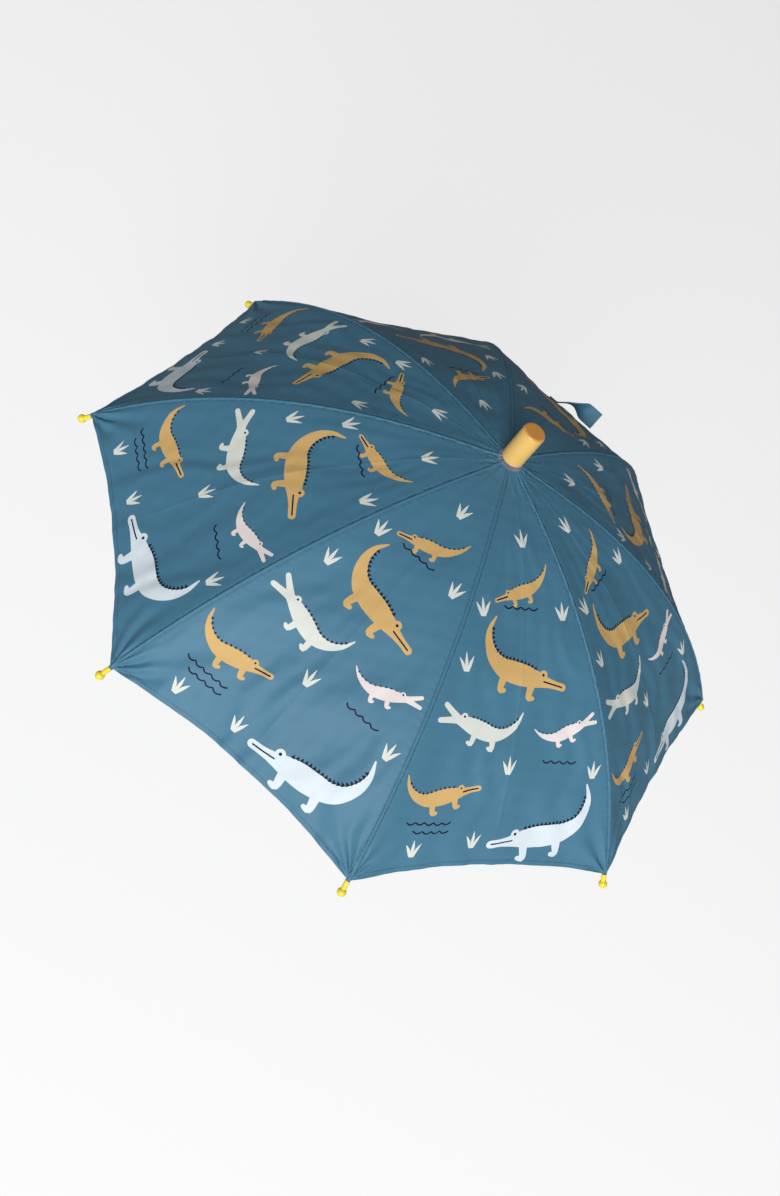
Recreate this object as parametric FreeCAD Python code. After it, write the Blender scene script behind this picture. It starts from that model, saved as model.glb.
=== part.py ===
"""Children's stick umbrella, open: one script, one STEP file for each separate piece.

Frame: millimetres, +Z up along the shaft towards the ferrule, origin on the shaft's axis in the
middle of the handle's straight grip. The eight ribs stand at multiples of 45 degrees from +X.
Heights named Z_... are in this frame; heights returned by canopy_z() are measured from the apex.
"""
import FreeCAD
import Part
import math
import os

V = FreeCAD.Vector
UP = V(0, 0, 1)

# ---- driving dimensions ----
RIB_COUNT = 8
STEP_DEG = 360.0 / RIB_COUNT
HALF_STEP = math.radians(STEP_DEG / 2)
CANOPY_R = 350.0          # shaft axis to the fabric's edge at a rib
CANOPY_DROP = 183.6       # apex to that edge, downwards
BOW_SQUARE = 0.4994       # share of the drop that grows with the radius squared
BOW_FOURTH = 0.2925       # share that grows with its fourth power, near the rim
Z_APEX = 475.0            # where the canopy's profile meets the shaft's axis
FABRIC = 0.8              # thickness of a fabric panel's solid
CROWN_LIFT = 4.0          # how far the fabric is drawn up at the ferrule
CROWN_R = 30.0            # radius where that lift has run out
PANEL_IN_R = 5.2          # where the panels end under the ferrule
PANEL_GAP = 0.2           # from a panel's long side to the plane of its rib
RIM_SCALLOP = 7.2         # how far the middle of a panel's rim curves in, seen from above

SHAFT_R = 4.0
SHAFT_WALL = 0.5
PIVOT_R = 9.0             # shaft axis to the pivots in the top notch and in the runner
PIVOT_WIRE_R = 0.5
EYE_R = 1.9
EYE_HOLE_R = 0.66
LEAF = 1.8                # thickness of a rib's or stretcher's flattened eye
SLOT = 2.4                # width of the slots that the eyes turn in
SLOT_FLOOR_R = 6.6
CROWN_OUT_R = 12.0        # outer radius of the slotted crowns of notch and runner

RIB_W = 3.0
RIB_H = 2.4
RIB_SHEET = 0.6           # the ribs are folded from sheet of this thickness
RIB_BELOW = 2.5           # fabric's outer face to a rib's middle line
RIB_CHANNEL_R = 20.0      # radius where the rib's channel begins
JOINT_SHARE = 0.4486      # where a stretcher meets its rib, as a share of CANOPY_R
JOINT_BELOW = 6.2         # fabric's outer face to that pivot
EAR = 0.7                 # thickness of the ears that hold the stretcher
RIVET_R = 0.7
STRETCHER_H = 2.2

RUNNER_SLEEVE_R = 6.0
RUNNER_SLEEVE = 33.0      # length of the slim sleeve under the crown
RUNNER_GRIP = 11.0        # length of the finger ring at its lower end
RUNNER_GRIP_R = 9.5
CROWN_H = 6.8

TIP_NECK_R = 2.3
TIP_BALL_R = 4.1
TIP_BALL_OUT = 12.6       # fabric's edge to the ball's centre, along the rib
TIP_START = 1.0           # fabric's edge to the mouth of the tip's neck, along the rib
TIP_BORE = 7.0            # depth of the socket that takes the rib's pin

FERRULE_R = 11.0
FERRULE_BASE = 3.7        # above the apex
FERRULE_TOP = 43.0
FERRULE_ROUND = 2.6

STRAP_PANEL = 7           # the closing strap is sewn to the panel between ribs 7 and 8
STRAP_SHARE = 0.73        # how far down that panel, as a share of CANOPY_R
STRAP_W = 20.0
STRAP_T = 1.2
STRAP_ARCH = [(16.0, 0.5), (8.0, 0.9), (0.0, 5.0), (-8.0, 8.6), (-16.0, 8.4), (-23.0, 5.0)]
STRAP_TAB = 16.0          # length of the folded end, which stands on its edge
HOOK_TAPE = 12.0

HANDLE_TOP = -440.0       # from the apex
GRIP_LEN = 70.0
GRIP_R = 9.5
CROOK_R = 32.0            # of the crook's middle line
CROOK_RISE = 12.0
SHAFT_IN_HANDLE = 45.0


# ---- the canopy's profile ----
def canopy_z(r):
    """Height of a rib's fabric line above the apex, at radius r."""
    t = r / CANOPY_R
    bow = BOW_SQUARE * t**2 + BOW_FOURTH * t**4 + (1 - BOW_SQUARE - BOW_FOURTH) * t
    return -CANOPY_DROP * bow


def canopy_slope(r):
    t = r / CANOPY_R
    rise = 2 * BOW_SQUARE * t + 4 * BOW_FOURTH * t**3 + (1 - BOW_SQUARE - BOW_FOURTH)
    return -CANOPY_DROP * rise / CANOPY_R


def below(r, depth):
    """The point at a depth square to the rib's fabric line, as (radius, height in the frame)."""
    slope = canopy_slope(r)
    size = math.hypot(1, slope)
    return r + depth * slope / size, Z_APEX + canopy_z(r) - depth / size


def fabric_z(r):
    """Height in the frame of the fabric's outer face, drawn up towards the ferrule."""
    lift = CROWN_LIFT * max(0.0, 1 - r / CROWN_R)**2
    return Z_APEX + canopy_z(r) + lift


# ---- small helpers ----
def spaced(low, high, count):
    return [low + (high - low) * i / (count - 1) for i in range(count)]


def spline(points):
    """A smooth edge in the XZ plane through (radius, height) points."""
    curve = Part.BSplineCurve()
    curve.interpolate([V(x, 0, z) for x, z in points])
    return curve.toShape()


def line(a, b):
    return Part.makeLine(V(a[0], 0, a[1]), V(b[0], 0, b[1]))


def band(upper, lower, width):
    """A bar between two smooth lines in the XZ plane, as wide as told, centred on that plane."""
    wire = Part.Wire([
        spline(upper),
        line(upper[-1], lower[-1]),
        spline(lower[::-1]),
        line(lower[0], upper[0]),
    ])
    bar = Part.Face(wire).extrude(V(0, width, 0))
    bar.translate(V(0, -width / 2, 0))
    return bar


def plate(points, width):
    """A flat plate with straight sides in the XZ plane, centred on that plane."""
    corners = [V(x, 0, z) for x, z in points]
    sheet = Part.Face(Part.makePolygon(corners + corners[:1])).extrude(V(0, width, 0))
    sheet.translate(V(0, -width / 2, 0))
    return sheet


def cross_pin(x, z, radius, width):
    return Part.makeCylinder(radius, width, V(x, -width / 2, z), V(0, 1, 0))


def turned(outline):
    """A ring or post turned about the shaft's axis from (radius, height) corners."""
    corners = [V(r, 0, z) for r, z in outline]
    return Part.Face(Part.makePolygon(corners + corners[:1])).revolve(V(0, 0, 0), UP, 360)


def around(shape, degrees):
    copy = shape.copy()
    copy.rotate(V(0, 0, 0), UP, degrees)
    return copy


def join(first, *others):
    return first.fuse(list(others)).removeSplitter()


def save(shape, name):
    if not shape.isValid() or shape.Volume <= 0:
        raise ValueError(name)
    shape.exportStep(f"parts/{name}.step")
    print(f"{name:24s} solids {len(shape.Solids):2d}  volume {shape.Volume:10.1f} mm3")


# ---- the linkage, in the plane of one rib ----
NOTCH_PIVOT = (PIVOT_R, below(PIVOT_R, RIB_BELOW)[1])
RIB_JOINT = below(CANOPY_R * JOINT_SHARE, JOINT_BELOW)
LINK = math.hypot(RIB_JOINT[0] - NOTCH_PIVOT[0], RIB_JOINT[1] - NOTCH_PIVOT[1])
OPEN_ANGLE = math.atan2(NOTCH_PIVOT[1] - RIB_JOINT[1], RIB_JOINT[0] - NOTCH_PIVOT[0])
FOLD = math.radians(59.0)             # how far a rib swings down
RUNNER_PIVOT = (PIVOT_R, 2 * RIB_JOINT[1] - NOTCH_PIVOT[1])
TRAVEL = 2 * LINK * (math.sin(OPEN_ANGLE + FOLD) - math.sin(OPEN_ANGLE))


# ---- pieces of the frame ----
def pivot_wire(height):
    return Part.makeTorus(PIVOT_R, PIVOT_WIRE_R, V(0, 0, height), UP)


def slotted_crown(body, height):
    """Cuts one radial slot for each eye, and the groove of the wire that they turn on."""
    deep = 60.0
    slot = Part.makeBox(20, SLOT, deep, V(SLOT_FLOOR_R, -SLOT / 2, height - CROWN_H))
    slots = [around(slot, STEP_DEG * k) for k in range(RIB_COUNT)]
    groove = Part.makeTorus(PIVOT_R, PIVOT_WIRE_R + 0.03, V(0, 0, height), UP)
    return body.cut(slots + [groove])


def top_notch():
    pivot = NOTCH_PIVOT[1]
    bore = SHAFT_R + 0.03
    outline = [
        (bore, pivot + 1.1), (CROWN_OUT_R - 0.6, pivot + 1.1), (CROWN_OUT_R, pivot + 0.5),
        (CROWN_OUT_R, pivot - 3.2), (CROWN_OUT_R - 1.2, pivot - 4.4), (6.2, pivot - 4.4),
        (6.2, pivot - 13.0), (5.6, pivot - 13.6), (bore, pivot - 13.6),
    ]
    return slotted_crown(turned(outline), pivot)


def runner():
    pivot = RUNNER_PIVOT[1]
    bore = SHAFT_R + 0.15
    low = pivot - 3.6
    sleeve_end = low - RUNNER_SLEEVE
    bottom = sleeve_end - RUNNER_GRIP
    outline = [
        (bore, pivot + 3.2), (CROWN_OUT_R - 0.8, pivot + 3.2), (CROWN_OUT_R, pivot + 2.4),
        (CROWN_OUT_R, low + 1.0), (CROWN_OUT_R - 1.0, low), (RUNNER_SLEEVE_R, low),
        (RUNNER_SLEEVE_R, sleeve_end), (RUNNER_GRIP_R - 1.0, sleeve_end - 1.5),
        (RUNNER_GRIP_R, sleeve_end - 3.0), (RUNNER_GRIP_R - 0.9, sleeve_end - RUNNER_GRIP / 2),
        (RUNNER_GRIP_R, bottom + 2.5), (RUNNER_GRIP_R - 1.2, bottom), (bore, bottom),
    ]
    body = slotted_crown(turned(outline), pivot)
    window = Part.makeBox(12, 2.4, 12, V(-12, -1.2, bottom + 14))
    return body.cut(window), bottom


def rib():
    """One folded-sheet rib with its inner eye, the ears for its stretcher and the pin for its tip."""
    pivot_x, pivot_z = NOTCH_PIVOT
    half = RIB_H / 2
    end_r = CANOPY_R - 3.5
    radii = spaced(RIB_CHANNEL_R, end_r, 17)
    outer = band(
        [below(r, RIB_BELOW - half) for r in radii],
        [below(r, RIB_BELOW + half) for r in radii],
        RIB_W,
    )
    hollow = band(
        [below(r, RIB_BELOW - half + RIB_SHEET) for r in [RIB_CHANNEL_R - 1] + radii + [end_r + 1]],
        [below(r, RIB_BELOW + half + 1) for r in [RIB_CHANNEL_R - 1] + radii + [end_r + 1]],
        RIB_W - 2 * RIB_SHEET,
    )
    channel = outer.cut(hollow)
    neck_radii = spaced(PIVOT_R, RIB_CHANNEL_R + 8, 5)
    neck = band(
        [below(r, RIB_BELOW - 0.9) for r in neck_radii],
        [below(r, RIB_BELOW + 0.9) for r in neck_radii],
        LEAF,
    )
    eye = cross_pin(pivot_x, pivot_z, EYE_R, LEAF)
    edge, along = rib_end()
    pin_back = 13.0
    pin = Part.makeCylinder(1.0, pin_back + TIP_START + TIP_BORE - 0.5, edge - along * pin_back, along)
    joint_x, joint_z = RIB_JOINT
    middle_r = CANOPY_R * JOINT_SHARE
    saddle = plate([
        below(middle_r - 6, RIB_BELOW - half + 0.3),
        below(middle_r + 6, RIB_BELOW - half + 0.3),
        below(middle_r + 4.5, RIB_BELOW + half),
        below(middle_r + 1.9, JOINT_BELOW),
        below(middle_r - 1.9, JOINT_BELOW),
        below(middle_r - 4.5, RIB_BELOW + half),
    ], RIB_W + 2 * EAR)
    rounded = cross_pin(joint_x, joint_z, EYE_R, RIB_W + 2 * EAR)
    room = Part.makeBox(16, RIB_W, 16, V(joint_x - 8, -RIB_W / 2, joint_z - 8))
    ears = saddle.fuse(rounded).cut(room)
    body = join(channel, neck, eye, pin, ears)
    holes = [
        cross_pin(pivot_x, pivot_z, EYE_HOLE_R, LEAF + 2),
        cross_pin(joint_x, joint_z, RIVET_R + 0.01, RIB_W + 2 * EAR + 2),
    ]
    return body.cut(holes)


def joint_rivet():
    joint_x, joint_z = RIB_JOINT
    face = RIB_W / 2 + EAR
    shank = cross_pin(joint_x, joint_z, RIVET_R, 2 * face + 1.0)
    heads = [
        Part.makeCylinder(1.2, 0.5, V(joint_x, y, joint_z), V(0, 1, 0))
        for y in (-face - 0.5, face)
    ]
    return join(shank, *heads)


def stretcher():
    """One stay, from its rib's ears down to the runner, grooved along its underside."""
    a, b = RIB_JOINT, RUNNER_PIVOT
    long_x, long_z = b[0] - a[0], b[1] - a[1]
    size = math.hypot(long_x, long_z)
    ux, uz = long_x / size, long_z / size
    half = STRETCHER_H / 2

    def at(along, side):
        return a[0] + ux * along - uz * side, a[1] + uz * along + ux * side

    bar = plate([at(0, half), at(size, half), at(size, -half), at(0, -half)], LEAF)
    groove = plate([at(7, 0.1), at(size - 7, 0.1), at(size - 7, 3), at(7, 3)], 0.9)
    eyes = [cross_pin(x, z, EYE_R, LEAF) for x, z in (a, b)]
    body = join(bar.cut(groove), *eyes)
    return body.cut([
        cross_pin(a[0], a[1], RIVET_R + 0.1, LEAF + 2),
        cross_pin(b[0], b[1], EYE_HOLE_R, LEAF + 2),
    ])


def rib_end():
    """The point of a rib's middle line under the fabric's edge, and the rib's direction there."""
    x, z = below(CANOPY_R, RIB_BELOW)
    return V(x, 0, z), V(1, 0, canopy_slope(CANOPY_R)).normalize()


def rib_tip():
    """Ball tip: a socket that slips over the rib's pin and a ball beyond the fabric's edge."""
    edge, along = rib_end()
    mouth = edge + along * TIP_START
    neck = Part.makeCylinder(TIP_NECK_R, TIP_BALL_OUT - TIP_START, mouth, along)
    body = join(neck, Part.makeSphere(TIP_BALL_R, edge + along * TIP_BALL_OUT))
    return body.cut(Part.makeCylinder(1.02, TIP_BORE, mouth, along))


def shaft_and_catches(runner_bottom):
    low = Z_APEX + HANDLE_TOP - SHAFT_IN_HANDLE
    high = Z_APEX + FERRULE_TOP - 9
    tube = Part.makeCylinder(SHAFT_R, high - low, V(0, 0, low))
    tube = tube.cut(Part.makeCylinder(SHAFT_R - SHAFT_WALL, high - low, V(0, 0, low)))
    top_shoulder = runner_bottom - 0.4
    low_shoulder = runner_bottom - TRAVEL + 19.0
    catches = []
    for shoulder in (top_shoulder, low_shoulder):
        slot = Part.makeBox(6, 1.9, 27, V(-7, -0.95, shoulder - 25.5))
        tube = tube.cut(slot)
        catches.append(spring_catch(shoulder))
    return tube, catches[0], catches[1]


def spring_catch(shoulder):
    """Bent spring wire: a ramp that the runner rides over, and a shoulder that holds it."""
    wire_r = 0.6
    corners = [
        V(2.6, 0, shoulder - 34), V(-2.6, 0, shoulder - 26), V(-6.6, 0, shoulder - 5),
        V(-6.6, 0, shoulder - wire_r), V(-1.4, 0, shoulder - wire_r), V(0.4, 0, shoulder - 6),
    ]
    runs = []
    for a, b in zip(corners, corners[1:]):
        runs.append(Part.makeCylinder(wire_r, (b - a).Length, a, b - a))
    bends = [Part.makeSphere(wire_r, c) for c in corners[1:-1]]
    return join(runs[0], *runs[1:], *bends)


def ferrule():
    base = Z_APEX + FERRULE_BASE
    height = FERRULE_TOP - FERRULE_BASE
    post = Part.makeCylinder(FERRULE_R, height, V(0, 0, base))
    rims = {True: [], False: []}
    for edge in post.Edges:
        if len(edge.Vertexes) == 1:
            rims[edge.BoundBox.ZMin > base + 1].append(edge)
    post = post.makeFillet(FERRULE_ROUND, rims[True])
    low_rim = [e for e in post.Edges if e.BoundBox.ZMax < base + 0.1 and e.Length > 60]
    post = post.makeFillet(0.8, low_rim)
    bore = Part.makeCylinder(SHAFT_R + 0.03, height - 8.5, V(0, 0, base))
    return post.cut(bore)


def cloth_washer(top_gap, thickness, out_r, teeth, tooth):
    """A round of cloth with a pinked edge, lying on or under the fabric at the crown."""
    inner = SHAFT_R + 0.1
    radii = spaced(inner, out_r + 1, 6)
    upper = [(r, fabric_z(r) + top_gap) for r in radii]
    lower = [(r, fabric_z(r) + top_gap - thickness) for r in radii]
    ring = turned(upper + lower[::-1])
    points = []
    for k in range(2 * teeth):
        radius = out_r if k % 2 else out_r - tooth
        angle = math.pi * k / teeth
        points.append(V(radius * math.cos(angle), radius * math.sin(angle), Z_APEX - 20))
    cutter = Part.Face(Part.makePolygon(points + points[:1])).extrude(V(0, 0, 40))
    return ring.common(cutter)


# ---- the canopy ----
def canopy_panel():
    """One gore, centred on +X: curved one way only, with its rim scalloped between two ribs."""
    cos_half = math.cos(HALF_STEP)
    radii = [PANEL_IN_R - 1, 10, 17, 25, 34] + spaced(50, CANOPY_R + 8, 13)
    outer = [(r * cos_half, fabric_z(r)) for r in radii]
    inner = []
    for r, (x, z) in zip(radii, outer):
        slope = (fabric_z(r + 0.5) - fabric_z(r - 0.5)) / cos_half
        size = math.hypot(1, slope)
        inner.append((x + FABRIC * slope / size, z - FABRIC / size))
    sheet = band(outer, inner, 2 * CANOPY_R)
    side = PANEL_GAP / cos_half
    left = V(CANOPY_R * cos_half, CANOPY_R * math.sin(HALF_STEP) - side, 0)
    right = V(left.x, -left.y, 0)
    near_left = V(PANEL_IN_R * cos_half, PANEL_IN_R * math.sin(HALF_STEP) - side, 0)
    near_right = V(near_left.x, -near_left.y, 0)
    middle = V(left.x - RIM_SCALLOP, 0, 0)
    outline = Part.Wire([
        Part.makeLine(near_right, right),
        Part.Arc(right, middle, left).toShape(),
        Part.makeLine(left, near_left),
        Part.makeLine(near_left, near_right),
    ])
    prism = Part.Face(outline).extrude(V(0, 0, 800))
    panel = sheet.common(prism)
    return around(panel, STEP_DEG / 2)


# ---- the closing strap ----
def on_panel(shape, share):
    """Moves a shape made at the origin onto the strap's panel: X across, Z out of the fabric."""
    r = CANOPY_R * share
    angle = math.radians(STEP_DEG * (STRAP_PANEL + 0.5))
    radial = V(math.cos(angle), math.sin(angle), 0)
    across = V(-math.sin(angle), math.cos(angle), 0)
    normal = (UP - radial * (canopy_slope(r) / math.cos(HALF_STEP))).normalize()
    uphill = normal.cross(across)
    at = radial * (r * math.cos(HALF_STEP)) + UP * fabric_z(r)
    frame = FreeCAD.Matrix(
        across.x, uphill.x, normal.x, at.x,
        across.y, uphill.y, normal.y, at.y,
        across.z, uphill.z, normal.z, at.z,
        0, 0, 0, 1,
    )
    placed = shape.copy()
    placed.transformShape(frame, True)
    return placed


def strap_end():
    """Start of the folded end and its middle height, in the strap's own frame."""
    return STRAP_ARCH[-1][0], 0.8 + STRAP_W / 2


def closing_strap():
    """A doubled cloth strip: one end sewn down, an arch, and a folded end standing on edge."""
    upper = [(x, z + STRAP_T) for x, z in STRAP_ARCH]
    arch = band(upper, STRAP_ARCH, STRAP_W)
    start, middle = strap_end()
    tab = Part.makeBox(STRAP_TAB + 1.5, STRAP_T, STRAP_W)
    tab.translate(V(start - STRAP_TAB, -STRAP_T / 2, middle - STRAP_W / 2))
    return on_panel(join(arch, tab), STRAP_SHARE)


def strap_hook_tape():
    start, middle = strap_end()
    pad = Part.makeBox(HOOK_TAPE, 0.8, HOOK_TAPE)
    pad.translate(V(start - STRAP_TAB + 2, STRAP_T / 2, middle - HOOK_TAPE / 2))
    return on_panel(pad, STRAP_SHARE)


# ---- the handle ----
def handle():
    top = Z_APEX + HANDLE_TOP
    turn = top - GRIP_LEN
    centre = V(CROOK_R, 0, turn)
    end = V(2 * CROOK_R, 0, turn)
    path = Part.Wire([
        Part.makeLine(V(0, 0, top), V(0, 0, turn)),
        Part.Arc(V(0, 0, turn), centre + V(0, 0, -CROOK_R), end).toShape(),
        Part.makeLine(end, end + V(0, 0, CROOK_RISE)),
    ])
    section = Part.Wire(Part.makeCircle(GRIP_R, V(0, 0, top), UP))
    body = path.makePipeShell([section], True, True)
    body = join(body, Part.makeSphere(GRIP_R, end + V(0, 0, CROOK_RISE)))
    bore = Part.makeCylinder(SHAFT_R + 0.03, SHAFT_IN_HANDLE + 1, V(0, 0, top - SHAFT_IN_HANDLE - 1))
    return body.cut(bore)


def handle_collar():
    low = Z_APEX + HANDLE_TOP
    bore = SHAFT_R + 0.03
    return turned([
        (bore, low), (GRIP_R + 0.9, low), (GRIP_R + 1.4, low + 0.8), (GRIP_R + 1.4, low + 3.2),
        (GRIP_R + 0.4, low + 4.6), (bore + 1.2, low + 7.0), (bore, low + 7.0),
    ])


def main():
    os.makedirs("parts", exist_ok=True)
    print(f"link {LINK:.2f}  open {math.degrees(OPEN_ANGLE):.3f} deg  travel {TRAVEL:.3f}")
    print(f"notch pivot {NOTCH_PIVOT}  rib joint {RIB_JOINT}  runner pivot {RUNNER_PIVOT}")

    runner_body, runner_bottom = runner()
    shaft_tube, top_catch, low_catch = shaft_and_catches(runner_bottom)
    save(shaft_tube, "shaft_tube")
    save(top_catch, "top_spring_catch")
    save(low_catch, "low_spring_catch")
    save(top_notch(), "top_notch")
    save(pivot_wire(NOTCH_PIVOT[1]), "notch_wire")
    save(runner_body, "runner")
    save(pivot_wire(RUNNER_PIVOT[1]), "runner_wire")
    save(ferrule(), "ferrule")
    save(cloth_washer(0.9, 0.6, 14.6, 30, 1.3), "crown_rosette")
    save(cloth_washer(-1.75, 0.5, 13.0, 26, 1.0), "inner_rosette")
    save(closing_strap(), "closing_strap")
    save(strap_hook_tape(), "strap_hook_tape")
    save(handle(), "crook_handle")
    save(handle_collar(), "handle_collar")

    pieces = {
        "rib": rib(),
        "joint_rivet": joint_rivet(),
        "stretcher": stretcher(),
        "rib_tip": rib_tip(),
        "canopy_panel": canopy_panel(),
    }
    for name, piece in pieces.items():
        for k in range(RIB_COUNT):
            save(around(piece, STEP_DEG * (k + 1)), f"{name}_{k + 1}")


main()
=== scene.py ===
# %% [markdown]
# # A child's stick umbrella, open
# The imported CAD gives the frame: shaft, runner, ribs, stretchers, tips and handle. Here the cloth is made, with its
# print, its seams and its folds, and every piece gets its finish. All lengths below are in millimetres until a mesh
# is made, and then in metres, in the frame's own axes.

# %% Load the frame
import math

import bpy
import numpy as np
from mathutils import Matrix, Vector, geometry


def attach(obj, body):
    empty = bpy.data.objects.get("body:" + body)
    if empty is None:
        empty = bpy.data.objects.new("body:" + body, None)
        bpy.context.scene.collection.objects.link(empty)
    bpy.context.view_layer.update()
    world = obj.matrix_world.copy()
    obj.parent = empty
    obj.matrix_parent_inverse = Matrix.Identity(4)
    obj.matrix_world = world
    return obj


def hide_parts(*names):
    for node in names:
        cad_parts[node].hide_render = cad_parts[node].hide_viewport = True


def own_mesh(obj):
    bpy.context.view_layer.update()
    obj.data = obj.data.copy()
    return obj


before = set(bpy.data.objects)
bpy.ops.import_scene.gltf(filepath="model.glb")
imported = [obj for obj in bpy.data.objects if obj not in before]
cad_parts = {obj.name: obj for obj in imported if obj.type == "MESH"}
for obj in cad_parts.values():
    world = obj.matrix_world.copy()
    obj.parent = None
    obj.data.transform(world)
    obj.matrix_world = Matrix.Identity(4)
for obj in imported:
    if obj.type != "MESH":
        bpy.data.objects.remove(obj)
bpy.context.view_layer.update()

MM = 0.001

# %% [markdown]
# ## Camera
# The umbrella is looked down on from one side, and the camera is rolled, so that the ferrule points to the upper
# right. The camera's axes are worked out from three angles instead of turning it with a constraint, because then
# every number can be read.

# %% Camera
def linked(name, data):
    made = bpy.data.objects.new(name, data)
    bpy.context.collection.objects.link(made)
    return made


APEX = Vector((0, 0, 0.475))
RIM = 0.35
elevation, azimuth, roll = (math.radians(a) for a in (48.21, 158.41, 41.07))
back = Vector((
    math.cos(elevation) * math.cos(azimuth),
    math.cos(elevation) * math.sin(azimuth),
    math.sin(elevation),
))
level_right = (-back).cross(Vector((0, 0, 1))).normalized()
level_up = level_right.cross(-back)
view_right = level_right * math.cos(roll) + level_up * math.sin(roll)
view_up = level_up * math.cos(roll) - level_right * math.sin(roll)
eye = APEX + RIM * (3.2070 * back - 0.3091 * view_right - 0.3533 * view_up)
camera_data = bpy.data.cameras.new("camera")
camera_data.lens = 37.62
camera_data.sensor_width = 36.0
camera = linked("camera", camera_data)
camera.matrix_world = Matrix.Translation(eye) @ Matrix((view_right, view_up, back)).transposed().to_4x4()
bpy.context.scene.camera = camera
print("camera at", [round(c, 3) for c in eye])

# %% [markdown]
# ## Floor and light
# A child holds the grip about 0.85 m above the ground, so the pale floor lies that far below it. One broad soft light
# stands near the camera, and a dim even sky fills the shade. The floor glows a little and isn't mirrored in the cloth,
# and the sky is brighter to the camera than it is as a light, so the background is pale and the blue stays deep.

# %% Floor
FLOOR_Z = -0.85
bpy.ops.object.select_all(action="DESELECT")
bpy.ops.mesh.primitive_plane_add(size=40, location=(0, 0, FLOOR_Z))
floor = bpy.context.object
floor.name = "floor"
floor_paint = bpy.data.materials.new("floor_paint")
floor_paint.use_nodes = True
floor_shader = floor_paint.node_tree.nodes["Principled BSDF"]
for socket, value in (
    ("Base Color", (0.42, 0.42, 0.42, 1)), ("Roughness", 0.9),
    ("Emission Color", (1, 1, 1, 1)), ("Emission Strength", 0.64),
):
    floor_shader.inputs[socket].default_value = value
floor.data.materials.append(floor_paint)
floor.visible_glossy = False

# %% Light
world = bpy.data.worlds.new("sky")
world.use_nodes = True
SKY_LIGHT = 0.19
SKY_SEEN = 0.85
backdrop = world.node_tree.nodes["Background"]
backdrop.inputs["Color"].default_value = (0.97, 0.985, 1.0, 1)
seen = world.node_tree.nodes.new("ShaderNodeLightPath")
strength = world.node_tree.nodes.new("ShaderNodeMath")
strength.operation = "MULTIPLY_ADD"
strength.inputs[1].default_value = SKY_SEEN - SKY_LIGHT
strength.inputs[2].default_value = SKY_LIGHT
world.node_tree.links.new(seen.outputs["Is Camera Ray"], strength.inputs[0])
world.node_tree.links.new(strength.outputs[0], backdrop.inputs["Strength"])
bpy.context.scene.world = world
bpy.context.scene.view_settings.view_transform = "Standard"


def soft_light(name, toward, distance, size, power):
    """A square soft light that shines at the canopy from a direction."""
    lamp = bpy.data.lights.new(name, "AREA")
    lamp.shape = "SQUARE"
    lamp.size = size
    lamp.energy = power
    lit = linked(name, lamp)
    lit.location = Vector((0, 0, 0.35)) + toward.normalized() * distance
    lit.rotation_euler = toward.to_track_quat("Z", "Y").to_euler()


soft_light("key", back * 0.92 - view_right * 0.06 - view_up * 0.36, 8.0, 3.4, 700)
soft_light("low_fill", Vector((-0.6, -0.9, -0.05)), 3.0, 1.5, 4)

# %% [markdown]
# ## The gore's shape
# The canopy is eight gores. A gore is cloth that is curved one way only, like a strip of a barrel: along its middle
# it follows the bow of the ribs, and straight across. So a place on it has two flat numbers: x, across from the
# middle, and v, the way down from the ferrule. `bow` turns v into a radius and a height.

# %% Bow of the canopy
APEX_Z = 475
CANOPY_R = 350.0
CANOPY_DROP = 183.6
HALF = math.radians(22.5)
steps = np.linspace(0, 364, 1457)
share = steps / CANOPY_R
bow_height = -CANOPY_DROP * (0.4994 * share**2 + 0.2925 * share**4 + 0.2081 * share)
bow_radius = steps * math.cos(HALF)
bow_way = np.concatenate([[0], np.cumsum(np.hypot(np.diff(bow_radius), np.diff(bow_height)))])
bow_slope = np.gradient(bow_height, bow_radius)
RIM_WAY = float(np.interp(CANOPY_R, steps, bow_way))
RIM_HALF = CANOPY_R * math.sin(HALF)
SCALLOP = 7.2
rim_arc = (RIM_HALF**2 + SCALLOP**2) / (2 * SCALLOP)


def half_width(v):
    return np.interp(v, bow_way, bow_radius) * math.tan(HALF)


def rim_at(x):
    """How far down the cloth ends, at x across the gore."""
    radius = CANOPY_R * math.cos(HALF) - SCALLOP + rim_arc - np.sqrt(rim_arc**2 - np.square(x))
    return np.interp(radius, bow_radius, bow_way)


print("way down to the rib's end", round(RIM_WAY, 1), "and to the middle of the rim", round(float(rim_at(0)), 1))

# %% [markdown]
# ## The cloth's relief
# Taut cloth isn't smooth. It sags a little between two ribs, rises in a narrow ridge over the sewn seam, puckers at
# the ferrule, gathers into a few folds at each tip, and keeps a faint ironed crease. `relief` adds these up as one
# height over the gore. `swell` is a few long waves in space, with fixed directions, so two gores agree at a seam.

# %% Relief
def swell(place, length, count=5, shift=0):
    """Smooth random waves in space, about as long as told, from -1 to 1."""
    total = 0.0
    draw = np.random.default_rng(80 + shift)
    for _ in range(count):
        way = draw.normal(size=3)
        way *= 2 * math.pi / length / np.linalg.norm(way) * draw.uniform(0.7, 1.4)
        total = total + np.sin(place @ way + draw.uniform(0, 6.28))
    return total / count**0.5


def fade(value, low, high):
    """0 at low and below, 1 at high and above, smooth between."""
    t = np.clip((value - low) / (high - low), 0, 1)
    return t * t * (3 - 2 * t)


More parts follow.
